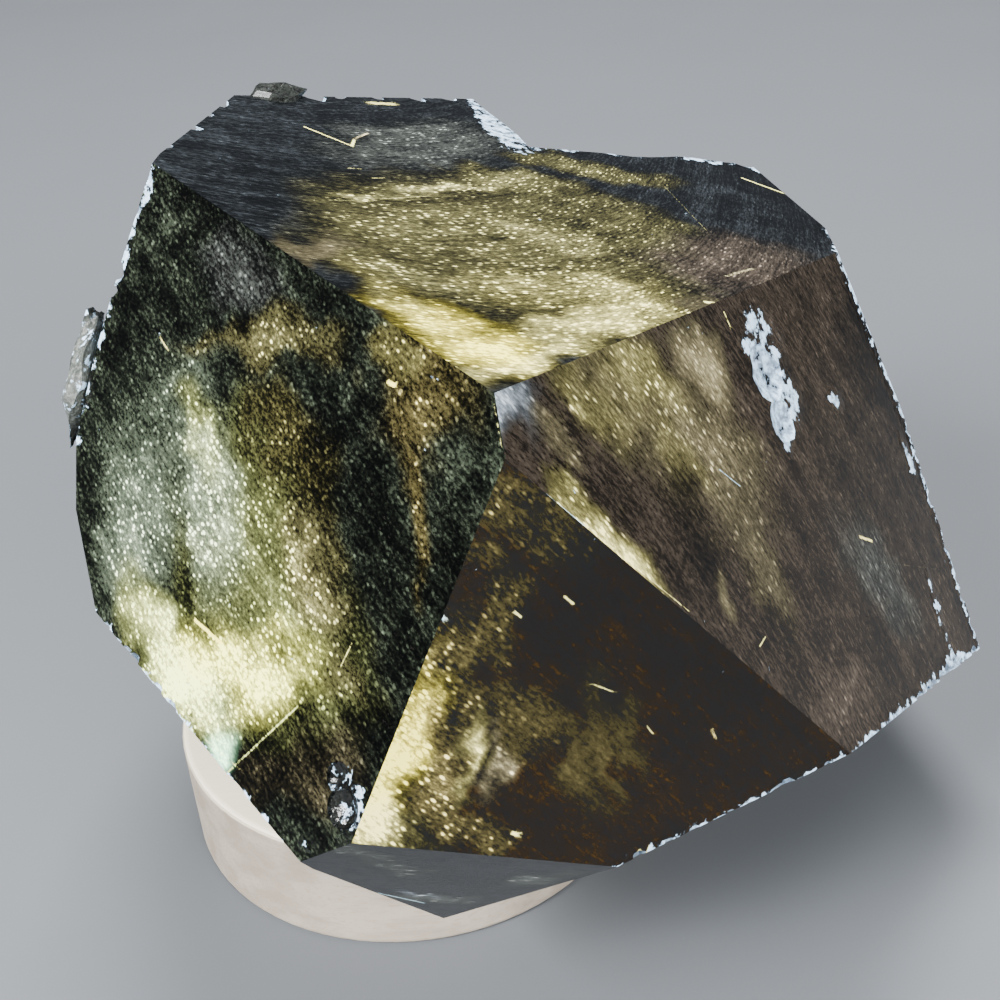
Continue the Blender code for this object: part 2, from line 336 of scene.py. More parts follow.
# Crisp marks on a face: the two ends, the half-width in millimetres, how solid and the
# colour. They are cracks, flashes, worn edges, painted highlights along ridges and edges,
# and the straight ends of clouds.
MARKS = {
    "left": (
        ((228, 772), (296, 708), 0.18, 0.60, PALE_GREEN),
        ((206, 740), (238, 768), 0.14, 0.50, CREAM),
        ((195, 620), (222, 644), 0.26, 0.90, BRIGHT_GOLD),
        ((352, 643), (340, 668), 0.14, 0.55, CREAM),
        # The next mark is a painted highlight along the ridge by the point.
        ((494, 404), (502, 450), 0.12, 0.45, CREAM),
        ((388, 382), (394, 385), 0.30, 0.90, BRIGHT_GOLD),
        ((160, 337), (168, 350), 0.18, 0.60, PALE_GOLD),
        # The next three marks are a painted highlight along the left edge, by the splinter.
        ((94, 345), (72, 400), 0.45, 0.90, ICE),
        ((72, 400), (62, 440), 0.35, 0.90, ICE),
        ((62, 440), (72, 520), 0.16, 0.60, ICE),
    ),
    "top": (
        ((305, 127), (352, 146), 0.20, 0.95, CREAM),
        ((352, 146), (354, 140), 0.26, 0.95, CREAM),
        ((354, 139), (368, 133), 0.30, 0.60, BEIGE),
        ((335, 200), (372, 201), 0.12, 0.50, CREAM),
        ((380, 199), (430, 196), 0.12, 0.55, CREAM),
        ((372, 178), (386, 178), 0.12, 0.60, CREAM),
        ((348, 168), (362, 169), 0.12, 0.60, CREAM),
        ((372, 103), (392, 104), 0.75, 0.80, PALE_GOLD),
        ((742, 178), (802, 200), 0.30, 0.95, CREAM),
        ((790, 188), (800, 190), 0.40, 0.90, CREAM),
        ((664, 186), (708, 232), 0.10, 0.45, CREAM),
        ((726, 276), (752, 269), 0.40, 0.50, BEIGE),
        ((705, 302), (714, 303), 0.35, 0.95, CREAM),
    ),
    "right": (
        # The next mark is a painted highlight along the ridge from the point.
        ((505, 462), (585, 526), 0.14, 0.90, ICE),
        ((585, 526), (690, 612), 0.10, 0.60, PALE_GOLD),
        ((880, 562), (960, 572), 0.08, 0.35, BEIGE),
        ((860, 537), (872, 541), 0.24, 0.80, GOLD),
        ((720, 470), (740, 486), 0.10, 0.60, ICE),
        ((724, 312), (730, 326), 0.18, 0.70, PALE_GOLD),
        ((760, 646), (766, 636), 0.14, 0.70, CREAM),
    ),
    "front": (
        ((474, 556), (520, 547), 0.24, 0.24, BEIGE),
        ((520, 547), (580, 556), 0.24, 0.24, BEIGE),
        ((580, 556), (640, 586), 0.24, 0.20, BEIGE),
        ((592, 684), (614, 692), 0.14, 0.70, PALE_GOLD),
        ((647, 726), (653, 734), 0.14, 0.60, PALE_GOLD),
        ((513, 833), (516, 834), 0.30, 0.95, CREAM),
        ((712, 730), (716, 738), 0.26, 0.60, GOLD),
        ((440, 616), (443, 618), 0.30, 0.95, ICE),
        ((634, 862), (640, 850), 0.26, 0.85, PALE_GOLD),
        ((645, 858), (650, 846), 0.26, 0.85, PALE_GOLD),
        ((565, 597), (574, 604), 0.20, 0.80, PALE_GOLD),
        ((515, 612), (522, 618), 0.20, 0.80, CREAM),
    ),
    "foot": (
        ((378, 893), (424, 903), 0.14, 0.80, ICE),
        ((300, 862), (360, 848), 0.10, 0.30, ICE),
    ),
}

# The way the inclusions of a face run, given by two pixels, how stretched they are, and
# how fast they bend away, per millimetre.
GRAIN_RUNS = {
    "left": ((300, 500), (340, 560), 1.5, 0.0),
    "top": ((400, 200), (500, 203), 2.2, -0.012),
    "right": ((600, 420), (660, 490), 2.4, 0.004),
    "front": ((500, 600), (560, 655), 2.4, 0.0),
    "foot": ((400, 880), (500, 885), 4.0, 0.0),
}
GRAIN_SIZE = 0.30

# Where a cloud and a bruise start to fade and where they end, as shares of their half-axes.
CLOUD_START = 0.3
BRUISE_START = 0.8
BLOB_END = 1.9

# Where a fold's clear part fades: before its start, past its stop and beside its line, in
# millimetres, and on its far side from a share of its reach.
FOLD_START_FADE = (-2.0, 0.5)
FOLD_STOP_FADE = (-0.5, 3.0)
FOLD_CRISPNESS = 0.4
FOLD_CORE = 0.5


def smooth(low, high, value):
    """A soft step from 0 at low to 1 at high."""
    share = np.clip((value - low) / (high - low), 0.0, 1.0)
    return share * share * (3.0 - 2.0 * share)


def blob(points, name, middle, tip, width, fade_start):
    """How far inside an ellipse on a face the points are, from 0 to 1."""
    centre = spot(name, middle)
    along = spot(name, tip) - centre
    across = np.cross(face_normal(name), along)
    across = across / np.linalg.norm(across) / width
    along = along / (along @ along)
    offset = points - centre
    reach = np.sqrt((offset @ along) ** 2 + (offset @ across) ** 2)
    return 1.0 - smooth(fade_start, BLOB_END, reach)


def fold(points, name, start, stop, reach):
    """How far the points are in the clear part right of a straight line, from 0 to 1."""
    first = spot(name, start)
    run = spot(name, stop) - first
    length = np.linalg.norm(run)
    run /= length
    offset = points - first
    along, beside = offset @ run, offset @ np.cross(run, face_normal(name))
    ends = smooth(*FOLD_START_FADE, along)
    ends = ends * (1.0 - smooth(length + FOLD_STOP_FADE[0], length + FOLD_STOP_FADE[1], along))
    across = smooth(0.0, FOLD_CRISPNESS, beside) * (1.0 - smooth(FOLD_CORE * reach, reach, beside))
    return across * ends


def near(points, start, stop):
    """The distance of the points from a straight stretch, in millimetres."""
    run = stop - start
    share = np.clip((points - start) @ run / (run @ run), 0.0, 1.0)
    return np.linalg.norm(points - start - share[:, None] * run, axis=1)


# ---- the crystal's mesh

EDGE_LIMIT = 1.5 * MM
NOTCH_LIMIT = 0.8 * MM
NOTCH = (np.array((19.0, 31.0, 66.0)), 15.0)


def too_long(points, edges):
    """Which edges are over EDGE_LIMIT, or over NOTCH_LIMIT close to the notch."""
    ends = points[edges] / MM
    spans = np.linalg.norm(ends[:, 0] - ends[:, 1], axis=1) * MM
    in_notch = np.linalg.norm(ends.mean(axis=1) - NOTCH[0], axis=1) < NOTCH[1]
    return spans > np.where(in_notch, NOTCH_LIMIT, EDGE_LIMIT)


def sides_of(tris):
    """The two ends of each triangle's first side, then of each second and third side."""
    return np.concatenate((tris[:, (0, 1)], tris[:, (1, 2)], tris[:, (2, 0)]))


def outside_flats(which, kinds, count):
    """Which edges are not inside one natural face."""
    lowest, highest = np.full(count, len(FACES)), np.full(count, -1)
    np.minimum.at(lowest, which, kinds)
    np.maximum.at(highest, which, kinds)
    return (lowest != highest) | (lowest < 0)


def split_long_edges(points, tris, kinds):
    """Halves every long edge outside the natural faces, and keeps each triangle's kind."""
    while True:
        sides = np.sort(sides_of(tris), axis=1)
        keys, which = np.unique(sides[:, 0] * len(points) + sides[:, 1], return_inverse=True)
        edges = np.stack((keys // len(points), keys % len(points)), axis=1)
        is_long = too_long(points, edges) & outside_flats(which, np.tile(kinds, 3), len(edges))
        if not is_long.any():
            return points, tris, kinds
        middles = np.full(len(edges), -1)
        middles[is_long] = len(points) + np.arange(is_long.sum())
        points = np.concatenate((points, points[edges[is_long]].mean(axis=1)))
        cuts = middles[which].reshape(3, -1).T
        pieces = []
        count = (cuts >= 0).sum(axis=1)
        for pattern in range(3):
            order = [(pattern + step) % 3 for step in range(3)]
            a, b, c = tris[:, order].T
            ab, bc, ca = cuts[:, order].T
            one = (count == 1) & (ab >= 0)
            two = (count == 2) & (ca < 0)
            pieces += [(one, (a, ab, c)), (one, (ab, b, c)),
                       (two, (ab, b, bc)), (two, (a, ab, bc)), (two, (a, bc, c))]
        a, b, c = tris.T
        ab, bc, ca = cuts.T
        none, three = count == 0, count == 3
        pieces += [(none, (a, b, c)), (three, (a, ab, ca)), (three, (ab, b, bc)),
                   (three, (ca, bc, c)), (three, (ab, bc, ca))]
        tris = np.concatenate([np.stack([part[mask] for part in corners], axis=1)
                               for mask, corners in pieces])
        kinds = np.concatenate([kinds[mask] for mask, _ in pieces])


POINT_FACE_PITCH = 0.85
SIDE_FACE_PITCH = 1.5
ROW_SHARE = 0.866  # the distance of two rows of an even net, in pitches
BORDER_SHARE = 0.45  # how far the net stays from a face's border, in pitches
MARK_STEP = 0.35
MARK_ROWS = (-1.8, -1.2, -0.3, 0.3, 1.2, 1.8)  # rows of points along a mark, in half-widths
MARK_CLEARANCE = 2.2  # how far the net stays from a mark, in half-widths
MARK_BORDER = 0.1
CDT_MARGIN = 1e-6
SLIVER = 1e-4  # square millimetres


def plane_axes(name):
    """Two directions in a face's plane, right-handed with its normal."""
    normal = face_normal(name)
    first = np.cross((0.0, 0.0, 1.0), normal)
    first /= np.linalg.norm(first)
    return np.stack((first, np.cross(normal, first)))


def in_border(flat, starts, stops):
    """Which flat points lie inside a closed border."""
    inside = np.zeros(len(flat), bool)
    for (x0, y0), (x1, y1) in zip(starts, stops):
        if y0 != y1:
            crosses = (flat[:, 1] >= min(y0, y1)) & (flat[:, 1] < max(y0, y1))
            inside ^= crosses & (flat[:, 0] < x0 + (flat[:, 1] - y0) * (x1 - x0) / (y1 - y0))
    return inside


def border_gap(flat, starts, stops):
    """The distance of the flat points from a border."""
    gap = np.full(len(flat), np.inf)
    for start, stop in zip(starts, stops):
        gap = np.minimum(gap, near(flat, start, stop))
    return gap


def inner_points(name, axes, starts, stops):
    """Points to fill a face with: an even net, and rows along each mark."""
    pitch = POINT_FACE_PITCH if name in POINT_FACES else SIDE_FACE_PITCH
    lowest, highest = starts.min(axis=0), starts.max(axis=0)
    across, up = np.meshgrid(np.arange(lowest[0], highest[0], pitch),
                             np.arange(lowest[1], highest[1], pitch * ROW_SHARE))
    across = across + (np.arange(len(across)) % 2)[:, None] * pitch / 2
    net = np.stack((across.reshape(-1), up.reshape(-1)), axis=1)
    net = net[in_border(net, starts, stops)]
    net = net[border_gap(net, starts, stops) > BORDER_SHARE * pitch]
    rows = []
    for start, stop, width, _, _ in MARKS.get(name, ()):
        start, stop = axes @ spot(name, start), axes @ spot(name, stop)
        length = np.linalg.norm(stop - start)
        run = (stop - start) / length
        side = np.array((-run[1], run[0]))
        steps = np.arange(-1, int(length / MARK_STEP) + 2)[:, None] * MARK_STEP * run
        for offset in MARK_ROWS:
            rows.append(start + steps + offset * width * side)
        net = net[near(net, start, stop) > MARK_CLEARANCE * width]
    if rows:
        rows = np.concatenate(rows)
        rows = rows[in_border(rows, starts, stops)]
        net = np.concatenate((net, rows[border_gap(rows, starts, stops) > MARK_BORDER]))
    return net


def inside_faces(faces, corners, border, starts, stops):
    """Which triangles of a filled face lie inside its border, told region by region."""
    size = faces.max() + 1
    sides = np.sort(sides_of(faces), axis=1)
    keys = sides @ (size, 1)
    order = np.argsort(keys, kind="stable")
    twins = np.flatnonzero(keys[order[:-1]] == keys[order[1:]])
    open_twins = twins[~np.isin(keys[order[twins]], np.sort(border, axis=1) @ (size, 1))]
    first, second = order[open_twins] % len(faces), order[open_twins + 1] % len(faces)
    region = np.arange(len(faces))
    while True:
        lower = np.minimum(region[first], region[second])
        merged = region.copy()
        np.minimum.at(merged, first, lower)
        np.minimum.at(merged, second, lower)
        merged = merged[merged]
        if (merged == region).all():
            break
        region = merged
    a, b, c = corners[:, 0], corners[:, 1], corners[:, 2]
    area = abs((b - a)[:, 0] * (c - a)[:, 1] - (b - a)[:, 1] * (c - a)[:, 0])
    inside = np.zeros(len(faces), bool)
    for label in np.unique(region):
        members = np.flatnonzero(region == label)
        largest = members[np.argmax(area[members])]
        if area[largest] > SLIVER:
            inside[members] = in_border(corners[largest].mean(axis=0)[None], starts, stops)[0]
    return inside


def refill_flats(points, tris, kinds):
    """Fills each natural face anew with even triangles, and keeps its border."""
    made, made_kinds = [tris[kinds < 0]], [kinds[kinds < 0]]
    for index, name in enumerate(FACES):
        group = tris[kinds == index]
        if not len(group):
            continue
        sides = sides_of(group)
        forward, backward = sides @ (len(points), 1), sides @ (1, len(points))
        border = sides[~np.isin(forward, backward)]
        rim = np.unique(border)
        edges = np.searchsorted(rim, border)
        axes = plane_axes(name)
        flat_rim = points[rim] / MM @ axes.T
        starts, stops = flat_rim[edges[:, 0]], flat_rim[edges[:, 1]]
        inner = inner_points(name, axes, starts, stops)
        flat = [Vector(place) for place in np.concatenate((flat_rim, inner)).tolist()]
        verts, _, faces, sources, _, _ = delaunay_2d_cdt(flat, edges.tolist(), [], 0, CDT_MARGIN)
        numbers = np.concatenate((rim, len(points) + np.arange(len(inner))))
        ids = np.array([numbers[source[0]] for source in sources])
        faces = np.array(faces)
        corners = np.array([vert[:] for vert in verts])[faces]
        faces = ids[faces]
        faces = faces[inside_faces(faces, corners, border, starts, stops)]
        made.append(faces)
        made_kinds.append(np.full(len(faces), index))
        added = inner @ axes + face_normal(name) * face_level(name)
        points = np.concatenate((points, added * MM))
    return points, np.concatenate(made), np.concatenate(made_kinds)


WELD_DISTANCE = 0.0002 * MM


def welded(source):
    """The points and triangles of a CAD node, with the doubled points joined."""
    bm = bmesh.new()
    bm.from_mesh(source.data)
    bmesh.ops.remove_doubles(bm, verts=bm.verts, dist=WELD_DISTANCE)
    bmesh.ops.triangulate(bm, faces=bm.faces)
    bm.verts.ensure_lookup_table()
    points = np.array([vert.co[:] for vert in bm.verts])
    tris = np.array([[vert.index for vert in face.verts] for face in bm.faces])
    bm.free()
    return points, tris


FLAT_TOLERANCE = 0.02  # millimetres
FLAT_COSINE = 0.9995
LEAST_SQUARE_MM, LEAST_SQUARE_M = 1e-12, 1e-15  # smaller triangles have no sure normal


def unit(vectors, least):
    """The vectors at length 1, or shorter where they are under the least length."""
    return vectors / np.maximum(np.linalg.norm(vectors, axis=1), least)[:, None]


def find_kinds(points, tris):
    """The index in FACES of the face each triangle is part of, or -1 where it is broken."""
    a, b, c = (points[tris[:, side]] / MM for side in range(3))
    normals = unit(np.cross(b - a, c - a), LEAST_SQUARE_MM)
    kinds = np.full(len(tris), -1)
    for index, name in enumerate(FACES):
        normal, level = face_normal(name), face_level(name)
        off = np.max([abs(corner @ normal - level) for corner in (a, b, c)], axis=0)
        kinds[(off < FLAT_TOLERANCE) & (normals @ normal > FLAT_COSINE)] = index
    return kinds


# The relief of the broken parts: how high, and its length or scale per millimetre.
RIPPLE = 0.16 * MM
RIPPLE_LENGTH = 3.2
RIPPLE_BEND = 18.0
RIPPLE_BEND_SCALE = 0.06
TEAR_HEIGHT = 0.55 * MM
TEAR_SCALE = 0.30
TEAR_LEVEL = 0.75  # the noise level that stays at the CAD surface
TEAR_SEED, TEAR_OCTAVES, BEND_SEED = 3, 4, 5
BASE_CLEARANCE = 0.2 * MM


def break_surface(points, tris, kinds):
    """Gives the broken parts the ripples and the tearing of snapped quartz."""
    broken = np.zeros(len(points), bool)
    broken[tris[kinds < 0].reshape(-1)] = True
    broken[tris[kinds >= 0].reshape(-1)] = False
    a, b, c = (points[tris[:, side]] for side in range(3))
    face_normals = np.cross(b - a, c - a)
    normals = np.zeros_like(points)
    for side in range(3):
        np.add.at(normals, tris[:, side], face_normals)
    normals = unit(normals, LEAST_SQUARE_M)
    torn = np.flatnonzero(broken & (points[:, 2] > points[:, 2].min() + BASE_CLEARANCE))
    spots = points[torn] / MM
    swell = soft_noise(spots, TEAR_SCALE, TEAR_SEED, TEAR_OCTAVES)
    bend = soft_noise(spots, RIPPLE_BEND_SCALE, BEND_SEED) * RIPPLE_BEND
    wave = np.sin((np.linalg.norm(spots, axis=1) + bend) * 2.0 * pi / RIPPLE_LENGTH)
    step = TEAR_HEIGHT * (swell - TEAR_LEVEL) + RIPPLE * 0.5 * (wave - 1.0)
    points[torn] += normals[torn] * step[:, None]
    return points


# How white the broken places are: middle in millimetres, reach and whiteness.
FROST_SPOTS = (
    ((19.0, 31.0, 66.0), 14.0, 1.0),
    ((-25.3, -8.2, 60.4), 9.0, 0.34),
    ((-1.7, -49.5, 43.6), 4.5, 0.34),
    ((39.0, -13.0, 55.0), 9.0, 0.78),
    ((-8.8, 24.6, 75.3), 8.0, 0.05),
)
EDGE_FROST_REACH = 3.0
EDGE_FROST_CORE = 0.3
SPOT_CORE = 0.6
FAR_FROST = 0.14

# Frosted bruises on the faces: middle, tip, short half-axis in millimetres and how solid.
BRUISES = {
    "right": (
        ((764, 346), (766, 373), 2.6, 0.66),
        ((784, 396), (792, 411), 2.3, 0.64),
        ((784, 444), (783, 450), 0.3, 0.80),
        ((835, 398), (841, 401), 0.5, 0.90),
        ((868, 745), (880, 736), 0.6, 0.90),
        ((893, 722), (906, 712), 0.7, 0.90),
        ((932, 690), (940, 684), 0.8, 0.80),
        ((956, 662), (966, 658), 0.7, 0.80),
        ((912, 462), (918, 476), 0.4, 0.90),
        ((872, 330), (880, 345), 0.3, 0.80),
        ((938, 610), (946, 640), 0.3, 0.80),
    ),
    "left": (
        ((354, 806), (358, 830), 1.1, 0.62),
        ((362, 838), (370, 842), 0.8, 0.62),
        ((148, 190), (140, 215), 0.35, 0.70),
        ((300, 852), (312, 850), 0.25, 0.62),
        ((196, 215), (202, 218), 0.25, 0.60),
        # The next bruise is part of the painted highlight along the left edge.
        ((70, 410), (64, 440), 0.7, 0.90),
    ),
    "top": (
        ((504, 132), (526, 152), 1.5, 0.66),
        ((484, 112), (474, 101), 1.1, 0.70),
        ((560, 149), (600, 149), 0.8, 0.70),
        ((640, 153), (668, 154), 0.7, 0.70),
        ((712, 161), (745, 164), 0.9, 0.60),
        ((775, 178), (800, 190), 0.8, 0.70),
    ),
    "front": (
        ((690, 840), (698, 836), 0.5, 0.80),
        ((784, 788), (792, 784), 0.4, 0.80),
        ((738, 812), (746, 808), 0.4, 0.80),
    ),
}

# Edges with a broken white line along them, white chips with a painted highlight along the
# edge: the neighbour, the line's width in millimetres and how solid it is.
RIM_CHIPS_AND_HIGHLIGHTS = {
    "left": (
        ("side_left_top", 0.9, 0.56),
        ("side_left_upper", 0.7, 0.50),
        ("side_left_keel", 0.6, 0.50),
    ),
    "top": (("side_right_upper", 0.7, 0.50),),
    "right": (
        ("side_right_upper", 0.7, 0.60),
        ("side_right", 0.8, 0.62),
        ("side_low_front", 0.8, 0.56),
    ),
    "front": (("side_low_right", 0.7, 0.50),),
}


def frost_share(points):
    """How white a broken point is: most by the faces of the point and in the notch."""
    gaps = [np.abs(face_level(name) - points @ face_normal(name)) for name in POINT_FACES]
    nearest = np.min(gaps, axis=0)
    by_edge = 1.0 - smooth(EDGE_FROST_CORE * EDGE_FROST_REACH, EDGE_FROST_REACH, nearest)
    share = np.maximum(by_edge, FAR_FROST)
    for middle, reach, white in FROST_SPOTS:
        gap = np.linalg.norm(points - middle, axis=1)
        inside = 1.0 - smooth(SPOT_CORE * reach, reach, gap)
        share = share * (1.0 - inside) + white * inside
    return share


# Broken parts that are cloudy right through, the splinter on the left and the knob behind
# the top: the middle and reach in millimetres, and how bright they are.
CLOUDY_PARTS = (((-26.6, -8.6, 60.6), 10.0, 0.46), ((-8.8, 24.6, 75.3), 9.0, 0.13))
PART_CORE = 0.3
UNION = 4.0  # how close to the brightest alone two clouds are where they overlap
CLUMP_LIFT = 0.40
STREAK_LIFT = 0.20
STREAK_SCALE = (0.05, 0.17, 1.0)
STREAK_NOISE = (1.0, 130, 2)  # scale, seed and octaves
CALM_LIFT_LOSS = 0.6
FACE_STEP = 40.0  # keeps the grain of one face apart from the next one's

# Brightness and calm of the broken parts and of the side faces.
BROKEN_LEVEL, BROKEN_CALM = 0.05, 0.8
SIDE_LEVEL, SIDE_CALM = 0.10, 0.3
SIDE_CLUMPS = 0.4

# The wander of the clouds' borders: how far in millimetres, the scale and the seed.
DRIFTS = ((2.2, 0.10, 20), (1.6, 0.5, 60))
# The clumps within a cloud: their share, the scale, the seed and the octaves.
CLUMPS = ((0.4, 0.16, 90, 3), (0.6, 0.6, 95, 2))

# The chips in rims and bruises: the least, how much the noise adds, and the noise's scale,
# seed and octaves.
CHIP_LEAST, CHIP_SWING = 0.62, 0.76
CHIP_NOISE = (0.9, 150, 2)
RIM_CORE = 0.2
MARK_CORE, MARK_END = 0.3, 1.2  # where a mark starts to fade and ends, in half-widths
BRUISE_WANDER = 0.3


def grain_places(places, name, index):
    """The places in grain sizes, measured along, across and bent with a face's grain."""
    start, stop, stretch, bend = GRAIN_RUNS[name]
    run = spot(name, stop) - spot(name, start)
    run /= np.linalg.norm(run)
    side = np.cross(face_normal(name), run)
    along = (places - spot(name, start)) @ run
    return np.stack((
        along / (GRAIN_SIZE * stretch),
        (places @ side + bend * along**2) / GRAIN_SIZE,
        np.full(len(places), FACE_STEP * index),
    ), axis=1)


def clear_share(places, moved, name):
    """How much of a face's clouds the dark clear stretches and the folds leave."""
    clear = np.ones(len(places))
    for middle, tip, width, amount in CLEARINGS[name]:
        clear *= 1.0 - amount * blob(moved, name, middle, tip, width, CLOUD_START)
    for start, stop, reach, amount in FOLDS.get(name, ()):
        clear *= 1.0 - amount * fold(places, name, start, stop, reach)
    return clear


def cloud_values(moved, name):
    """The brightness, the calm and the hue of the veil and the clouds under a face."""
    level, rest, tone = VEILS[name]
    power = np.full(len(moved), level**UNION)
    calm_sum, hue_sum = power * rest, np.outer(power, tone)
    for middle, tip, width, level, rest, tone in CLOUDS[name]:
        share = (level * blob(moved, name, middle, tip, width, CLOUD_START)) ** UNION
        power += share
        calm_sum += share * rest
        hue_sum += np.outer(share, tone)
    return power ** (1.0 / UNION), calm_sum / power, hue_sum / power[:, None]


def mark_values(places, name):
    """How solid the marks of a face are at the places, and their colour."""
    mark = np.zeros(len(places))
    colour = np.tile(CREAM, (len(places), 1))
    for start, stop, width, solid, tone in MARKS[name]:
        gap = near(places, spot(name, start), spot(name, stop))
        inside = solid * (1.0 - smooth(MARK_CORE * width, MARK_END * width, gap))
        stronger = inside > mark
        mark[stronger] = inside[stronger]
        colour[stronger] = tone
    return mark, colour


def face_frost_and_highlights(places, moved, chips, name):
    """How white the rims and bruises of a face are at the places; the rims are white chips with a
    painted highlight.
    """
    frost_and_highlight = np.zeros(len(places))
    # The rims: white chips with a painted highlight along each edge.
    for other, width, solid in RIM_CHIPS_AND_HIGHLIGHTS.get(name, ()):
        gap = face_level(other) - places @ face_normal(other)
        frost_and_highlight = np.maximum(frost_and_highlight, solid * (1.0 - smooth(RIM_CORE * width, width, gap)) * chips)
    shifted = moved * BRUISE_WANDER + places * (1.0 - BRUISE_WANDER)
    for middle, tip, width, solid in BRUISES.get(name, ()):
        bruise = blob(shifted, name, middle, tip, width, BRUISE_START)
        frost_and_highlight = np.maximum(frost_and_highlight, solid * bruise * chips)
    return frost_and_highlight


def corner_values(points, tris, kinds):
    """What the crystal's material needs to know at every corner of every triangle."""
    ends = tris.reshape(-1)
    flat_kinds = np.repeat(kinds, 3)
    broken = flat_kinds < 0
    spots = points / MM
    places = spots[ends]
    moved = places + sum(drift(spots, scale, seed) * reach for reach, scale, seed in DRIFTS)[ends]
    clump = sum(soft_noise(spots, scale, seed, octaves) * share
                for share, scale, seed, octaves in CLUMPS)[ends]
    grains = np.where(broken, BROKEN_LEVEL, SIDE_LEVEL + SIDE_CLUMPS * (clump - 0.5))
    for middle, reach, level in CLOUDY_PARTS:
        gap = np.linalg.norm(places - middle, axis=1)
        grains += level * (1.0 - smooth(PART_CORE * reach, reach, gap))
    calm = np.where(broken, BROKEN_CALM, SIDE_CALM)
    hue = np.tile(PEWTER, (len(ends), 1))
    mark = np.zeros(len(ends))
    mark_colour = np.tile(CREAM, (len(ends), 1))
    runs = places / GRAIN_SIZE
    chips = (CHIP_LEAST + CHIP_SWING * soft_noise(spots, *CHIP_NOISE))[ends]
    frost_and_highlight = broken * frost_share(spots)[ends]
    for index, name in enumerate(FACES):
        here = np.flatnonzero(flat_kinds == index)
        if name not in POINT_FACES or not len(here):
            continue
        runs[here] = grain_places(places[here], name, index)
        level, calm[here], hue[here] = cloud_values(moved[here], name)
        lift = (clump[here] - 0.5) * CLUMP_LIFT
        lift += (soft_noise(runs[here] * STREAK_SCALE, *STREAK_NOISE) - 0.5) * STREAK_LIFT
        lift *= 1.0 - CALM_LIFT_LOSS * calm[here]
        grains[here] = level * clear_share(places[here], moved[here], name) + lift
        mark[here], mark_colour[here] = mark_values(places[here], name)
        # The face's bruises, and its rims with their painted edge highlights.
        rim_frost_and_highlights = face_frost_and_highlights(places[here], moved[here], chips[here], name)
        frost_and_highlight[here] = np.maximum(frost_and_highlight[here], rim_frost_and_highlights)
    return {"grains": grains, "calm": calm, "hue": hue, "mark": mark,
            "mark_colour": mark_colour, "runs": runs, "frost_and_highlight": frost_and_highlight}


def build_crystal(source):
    """A finer copy of the crystal, with its broken surfaces torn and its clouds placed."""
    points, tris = welded(source)
    kinds = find_kinds(points, tris)
    points, tris, kinds = split_long_edges(points, tris, kinds)
    points, tris, kinds = refill_flats(points, tris, kinds)
    values = corner_values(points, tris, kinds)
    points = break_surface(points, tris, kinds)
    mesh = bpy.data.meshes.new("crystal_body")
    mesh.from_pydata(points.tolist(), [], tris.tolist())
    mesh.update()
    for name, data in values.items():
        shape, field = ("FLOAT", "value") if data.ndim == 1 else ("FLOAT_VECTOR", "vector")
        attribute = mesh.attributes.new(name, shape, "CORNER")
        attribute.data.foreach_set(field, data.reshape(-1))
    print("crystal_body", len(tris), "triangles")
    return add_object("crystal_body", mesh)


# ---- node helpers

# A mix node's share and two colours among its inputs, and its colour among its outputs.
COLOUR_SOCKETS = (0, 6, 7)
COLOUR_OUTPUT = 2


